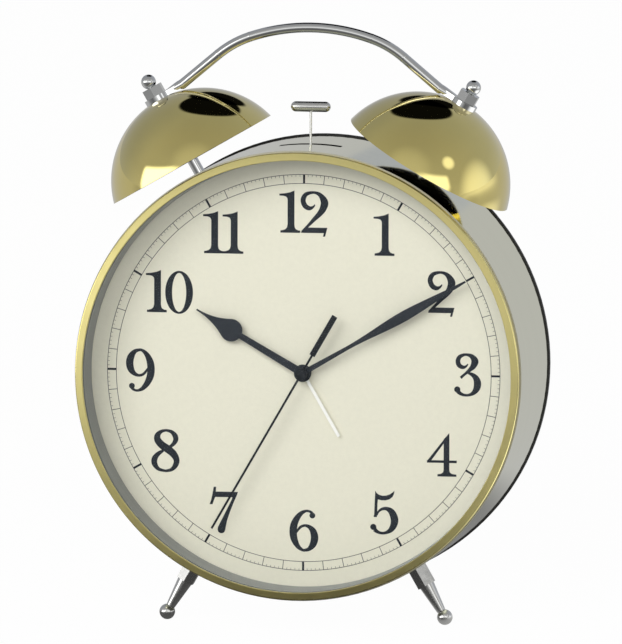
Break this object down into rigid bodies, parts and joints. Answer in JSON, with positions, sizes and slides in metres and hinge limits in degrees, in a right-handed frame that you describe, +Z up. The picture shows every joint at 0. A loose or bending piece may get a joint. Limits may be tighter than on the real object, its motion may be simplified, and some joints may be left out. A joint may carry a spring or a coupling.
{
  "type": "alarm clock",
  "caption": "Round metal alarm clock leaning back on ball feet, with dome bells struck by a swinging hammer, an arched carrying handle and a glazed dial.",
  "frame": {"origin": "on the floor, midway across the clock's width and depth", "axes": "+X to the viewer's right seen from the front, +Y from the face towards the back, +Z up"},
  "size_m": [0.2032, 0.1282, 0.2607],
  "materials": {
    "gold_plate": "polished plate",
    "lens_glass": "clear",
    "ring_grey": "satin",
    "dial_paint": "matt",
    "band_steel": "satin",
    "black_plastic": "moulded",
    "black_cover": "fine grain",
    "chrome": "polished",
    "zinc_steel": "zinc plated",
    "cell_wrap": "satin",
    "white_plastic": "moulded",
    "grey_plastic": "moulded",
    "copper_wire": "enamelled wire",
    "brass": "machined",
    "board_green": "solder mask",
    "hand_slate": "satin",
    "hand_white": "satin"
  },
  "bodies": {
    "case": {"bezel": "gold_plate", "lens": "lens_glass", "inner_ring": "ring_grey", "dial": "dial_paint", "case_band": "band_steel", "chassis": "black_plastic", "inner_nuts": "zinc_steel", "bell_left": "gold_plate", "bell_right": "gold_plate", "bell_post_left": "chrome", "bell_post_right": "chrome", "finial_left": "chrome", "finial_right": "chrome", "handle": "chrome", "foot_left": "chrome", "foot_right": "chrome", "back_cover": "black_cover", "cover_screws": "zinc_steel", "battery_tray": "black_plastic", "battery_contacts": "zinc_steel", "cells": "cell_wrap", "switch_body": "grey_plastic", "pivot_pin": "zinc_steel", "hammer_bracket": "zinc_steel", "bracket_screws": "zinc_steel", "coil_core": "zinc_steel", "coil_bobbin": "white_plastic", "coil_winding": "copper_wire", "movement_front": "black_plastic", "middle_plate": "grey_plastic", "movement_back": "black_plastic", "movement_screws": "zinc_steel", "drive_motor": "zinc_steel", "circuit_board": "board_green"},
    "seconds": {"second_hand": "hand_slate", "second_wheel": "brass"},
    "third": {"third_wheel": "brass"},
    "centre": {"centre_wheel": "brass"},
    "motor": {"motor_pinion": "brass"},
    "minute": {"minute_hand": "hand_slate", "minute_arbor": "brass", "clutch_spring": "zinc_steel"},
    "motion": {"motion_wheel": "white_plastic"},
    "hour": {"hour_hand": "hand_slate", "hour_wheel": "white_plastic"},
    "time_setting": {"time_arbor": "white_plastic", "time_knob": "black_cover"},
    "alarm": {"alarm_hand": "hand_white", "alarm_wheel": "white_plastic"},
    "alarm_setting": {"alarm_arbor": "white_plastic", "alarm_knob": "black_cover"},
    "hammer": {"hammer_head": "chrome", "hammer_rod": "chrome", "hammer_lever": "white_plastic", "armature": "zinc_steel"},
    "switch": {"alarm_switch": "white_plastic"},
    "door": {"battery_door": "black_cover"}
  },
  "joints": [
    {"name": "seconds_turn", "type": "hinge", "parent": "case", "child": "seconds", "pos_m": [0, -0.01799, 0.11104], "axis": [0, 0.9781, -0.2082], "continuous": true},
    {"name": "third_turn", "type": "hinge", "parent": "case", "child": "third", "pos_m": [0, -0.01499, 0.12512], "axis": [0, 0.9781, -0.2082], "continuous": true},
    {"name": "centre_turn", "type": "hinge", "parent": "case", "child": "centre", "pos_m": [0, -0.01799, 0.11104], "axis": [0, 0.9781, -0.2082], "continuous": true},
    {"name": "motor_turn", "type": "hinge", "parent": "case", "child": "motor", "pos_m": [0.01233, -0.0168, 0.11666], "axis": [0, 0.9781, -0.2082], "continuous": true},
    {"name": "minute_turn", "type": "hinge", "parent": "case", "child": "minute", "pos_m": [0, -0.01799, 0.11104], "axis": [0, 0.9781, -0.2082], "continuous": true},
    {"name": "motion_turn", "type": "hinge", "parent": "case", "child": "motion", "pos_m": [-0.0094, -0.0187, 0.10769], "axis": [0, 0.9781, -0.2082], "continuous": true},
    {"name": "hour_turn", "type": "hinge", "parent": "case", "child": "hour", "pos_m": [0, -0.01799, 0.11104], "axis": [0, 0.9781, -0.2082], "continuous": true},
    {"name": "time_knob_turn", "type": "hinge", "parent": "case", "child": "time_setting", "pos_m": [-0.01926, 0.04549, 0.09036], "axis": [0, 0.9781, -0.2082], "continuous": true},
    {"name": "alarm_turn", "type": "hinge", "parent": "case", "child": "alarm", "pos_m": [0, -0.01799, 0.11104], "axis": [0, 0.9781, -0.2082], "continuous": true},
    {"name": "alarm_knob_turn", "type": "hinge", "parent": "case", "child": "alarm_setting", "pos_m": [0.01379, 0.04455, 0.0859], "axis": [0, 0.9781, -0.2082], "continuous": true},
    {"name": "hammer_swing", "type": "hinge", "parent": "case", "child": "hammer", "pos_m": [0, 0.00732, 0.17282], "axis": [0, 0.9781, -0.2082], "range_deg": [-11.6, 11.6], "stiffness_Nm_per_rad": 0.012},
    {"name": "switch_slide", "type": "slide", "parent": "case", "child": "switch", "axis": [1, 0, 0], "range_m": [0, 0.006]},
    {"name": "door_hinge", "type": "hinge", "parent": "case", "child": "door", "pos_m": [0, 0.03248, 0.03522], "axis": [-1, 0, 0], "range_deg": [0, 90]}
  ],
  "couplings": [
    {"joint": "third_turn", "follows": "seconds_turn", "ratio": -0.13333},
    {"joint": "centre_turn", "follows": "seconds_turn", "ratio": 0.016667},
    {"joint": "motor_turn", "follows": "seconds_turn", "ratio": -7.5},
    {"joint": "hour_turn", "follows": "minute_turn", "ratio": 0.083333},
    {"joint": "motion_turn", "follows": "minute_turn", "ratio": -0.33333},
    {"joint": "time_knob_turn", "follows": "minute_turn", "ratio": 0.83333},
    {"joint": "alarm_knob_turn", "follows": "alarm_turn", "ratio": -5}
  ]
}
